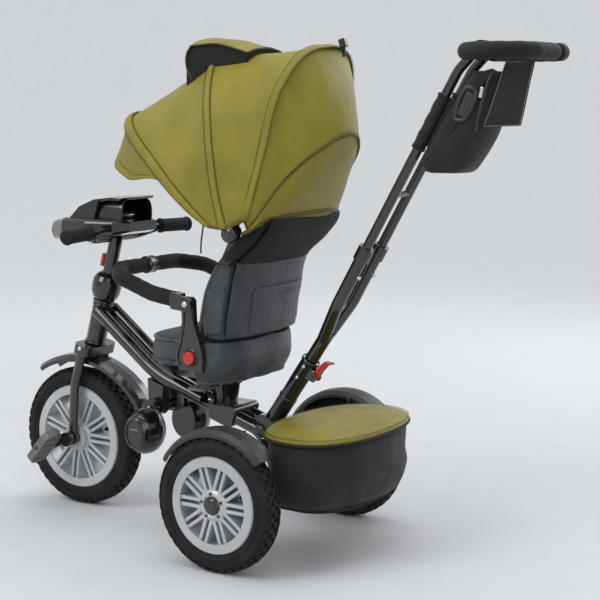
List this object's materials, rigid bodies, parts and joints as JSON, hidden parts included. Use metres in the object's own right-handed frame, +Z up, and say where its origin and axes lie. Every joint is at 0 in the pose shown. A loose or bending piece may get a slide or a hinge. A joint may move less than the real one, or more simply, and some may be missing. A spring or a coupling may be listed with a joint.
{
  "type": "children's tricycle",
  "caption": "Child's tricycle with steered pedal wheel, swivel reclining seat, folding canopy, foam bumper, telescoping push bar with bag, and lidded rear basket.",
  "frame": {"origin": "centre of the footprint, on the ground", "axes": "+Z up, the tricycle's front wheel faces -Y, its left side is +X"},
  "size_m": [0.4996, 1.2048, 0.971],
  "materials": {
    "tyre": "matt black rubber with moulded tread",
    "silver": "silver painted moulding",
    "frame": "dark olive-black metallic gloss",
    "black_gloss": "glossy black moulding",
    "grey_matt": "satin dark grey moulding",
    "lever_grey": "mid grey moulding",
    "steel": "bright steel",
    "red": "red moulding",
    "foam": "soft black foam",
    "lens": "clear lens",
    "olive": "olive green satin weave",
    "nylon": "black nylon",
    "grey_cloth": "grey nylon with dark mesh"
  },
  "bodies": {
    "frame": {"main_frame": "frame", "rear_axle": "steel", "rear_bushes": "grey_matt", "headset_bearings": "black_gloss", "rear_mudguards": "grey_matt", "seat_column": "black_gloss", "basket_body": "nylon", "basket_lid": "olive", "push_bar_lower": "frame", "push_bar_sleeve": "black_gloss", "telescope_collars": "black_gloss"},
    "wheel_left": {"rear_rim_left": "silver", "rear_tyre_left": "tyre", "rear_hub_cap_left": "black_gloss"},
    "wheel_right": {"rear_rim_right": "silver", "rear_tyre_right": "tyre", "rear_hub_cap_right": "black_gloss"},
    "brake": {"brake_pedals": "red"},
    "steering": {"fork": "frame", "steering_shroud": "black_gloss", "front_mudguard": "black_gloss"},
    "handlebar": {"handlebar": "frame", "grips": "foam", "console_body": "black_gloss", "headlamp_lens": "lens", "dial_panel": "grey_matt"},
    "latch": {"stem_latch": "red"},
    "button_left": {"melody_button_left": "red"},
    "button_right": {"melody_button_right": "red"},
    "front_wheel": {"front_rim": "silver", "front_tyre": "tyre", "crank_axle": "black_gloss"},
    "pedal_left": {"pedal_left": "lever_grey"},
    "pedal_right": {"pedal_right": "lever_grey"},
    "footrests": {"footrests": "black_gloss"},
    "swivel_lever": {"swivel_lever": "lever_grey"},
    "seat": {"seat_shell": "black_gloss", "seat_cushion": "grey_cloth", "seat_arms": "black_gloss"},
    "recline_left": {"recline_button_left": "red"},
    "recline_right": {"recline_button_right": "red"},
    "backrest": {"back_cover": "grey_cloth", "back_mesh_panel": "nylon", "back_frame": "black_gloss", "harness": "nylon", "canopy_bow_rear": "black_gloss", "canopy_knuckles": "black_gloss", "canopy_fabric": "olive", "canopy_drawstring": "nylon"},
    "canopy_middle": {"canopy_bow_middle": "black_gloss"},
    "canopy_front": {"canopy_bow_front": "black_gloss"},
    "bumper": {"bumper_foam": "foam", "bumper_fittings": "black_gloss"},
    "push_bar_top": {"push_bar_upper": "frame", "handle_foam": "foam", "bag_body": "nylon", "bag_flap": "nylon", "bag_buckle": "grey_matt"},
    "quick_release": {"quick_release_lever": "red"},
    "snaps": {"snap_buttons": "steel"}
  },
  "joints": [
    {"name": "rear_wheel_left_spin", "type": "hinge", "parent": "frame", "child": "wheel_left", "pos_m": [0, 0.0629, 0.1275], "axis": [1, 0, 0], "continuous": true},
    {"name": "rear_wheel_right_spin", "type": "hinge", "parent": "frame", "child": "wheel_right", "pos_m": [0, 0.0629, 0.1275], "axis": [1, 0, 0], "continuous": true},
    {"name": "brake_press", "type": "hinge", "parent": "frame", "child": "brake", "pos_m": [0, 0.0629, 0.1275], "axis": [-1, 0, 0], "range_deg": [-8, 0], "stiffness_Nm_per_rad": 2},
    {"name": "steer", "type": "hinge", "parent": "frame", "child": "steering", "pos_m": [0, -0.4081, 0.3965], "axis": [0, 0.2605, 0.9655], "range_deg": [-35, 35]},
    {"name": "handlebar_height", "type": "slide", "parent": "steering", "child": "handlebar", "axis": [0, 0.2605, 0.9655], "range_m": [0, 0.03]},
    {"name": "latch_press", "type": "slide", "parent": "handlebar", "child": "latch", "axis": [0, 0.9655, -0.2605], "range_m": [0, 0.002], "stiffness_N_per_m": 300},
    {"name": "melody_left_press", "type": "slide", "parent": "handlebar", "child": "button_left", "axis": [0, 0, -1], "range_m": [0, 0.002], "stiffness_N_per_m": 300},
    {"name": "melody_right_press", "type": "slide", "parent": "handlebar", "child": "button_right", "axis": [0, 0, -1], "range_m": [0, 0.002], "stiffness_N_per_m": 300},
    {"name": "front_wheel_spin", "type": "hinge", "parent": "steering", "child": "front_wheel", "pos_m": [0, -0.4559, 0.1465], "axis": [1, 0, 0], "continuous": true},
    {"name": "pedal_left_spin", "type": "hinge", "parent": "front_wheel", "child": "pedal_left", "pos_m": [0.06, -0.48973, 0.13419], "axis": [1, 0, 0], "continuous": true},
    {"name": "pedal_right_spin", "type": "hinge", "parent": "front_wheel", "child": "pedal_right", "pos_m": [-0.06, -0.42207, 0.15881], "axis": [1, 0, 0], "continuous": true},
    {"name": "footrest_fold", "type": "hinge", "parent": "frame", "child": "footrests", "pos_m": [0, -0.2331, 0.238], "axis": [1, 0, 0], "range_deg": [0, 40]},
    {"name": "swivel_lever_lift", "type": "hinge", "parent": "frame", "child": "swivel_lever", "pos_m": [0.034, -0.1031, 0.2955], "axis": [0, -1, 0], "range_deg": [0, 10], "stiffness_Nm_per_rad": 1},
    {"name": "seat_swivel", "type": "hinge", "parent": "frame", "child": "seat", "pos_m": [0, -0.0831, 0.33], "axis": [0, 0, 1], "range_deg": [-90, 90]},
    {"name": "recline_left_press", "type": "slide", "parent": "seat", "child": "recline_left", "axis": [-1, 0, 0], "range_m": [0, 0.003], "stiffness_N_per_m": 300},
    {"name": "recline_right_press", "type": "slide", "parent": "seat", "child": "recline_right", "axis": [1, 0, 0], "range_m": [0, 0.003], "stiffness_N_per_m": 300},
    {"name": "recline", "type": "hinge", "parent": "seat", "child": "backrest", "pos_m": [0, -0.0621, 0.3725], "axis": [-1, 0, 0], "range_deg": [0, 12]},
    {"name": "canopy_fold_middle", "type": "hinge", "parent": "backrest", "child": "canopy_middle", "pos_m": [0, 0.0329, 0.617], "axis": [-1, 0, 0], "range_deg": [0, 28], "deforming": ["canopy_fabric"]},
    {"name": "canopy_fold_front", "type": "hinge", "parent": "canopy_middle", "child": "canopy_front", "pos_m": [0, 0.0329, 0.617], "axis": [-1, 0, 0], "range_deg": [0, 26]},
    {"name": "bumper_lift", "type": "hinge", "parent": "seat", "child": "bumper", "pos_m": [0, -0.0701, 0.475], "axis": [-1, 0, 0], "range_deg": [0, 10]},
    {"name": "push_bar_height", "type": "slide", "parent": "frame", "child": "push_bar_top", "axis": [0, 0.4908, 0.8712], "range_m": [-0.05, 0]},
    {"name": "quick_release", "type": "hinge", "parent": "frame", "child": "quick_release", "pos_m": [0, 0.1264, 0.334], "axis": [1, 0, 0], "range_deg": [0, 12]},
    {"name": "snap_press", "type": "slide", "parent": "frame", "child": "snaps", "axis": [0, -0.8712, 0.4908], "range_m": [0, 0.002], "stiffness_N_per_m": 300}
  ],
  "couplings": [
    {"joint": "canopy_fold_front", "follows": "canopy_fold_middle", "ratio": 0.928}
  ]
}
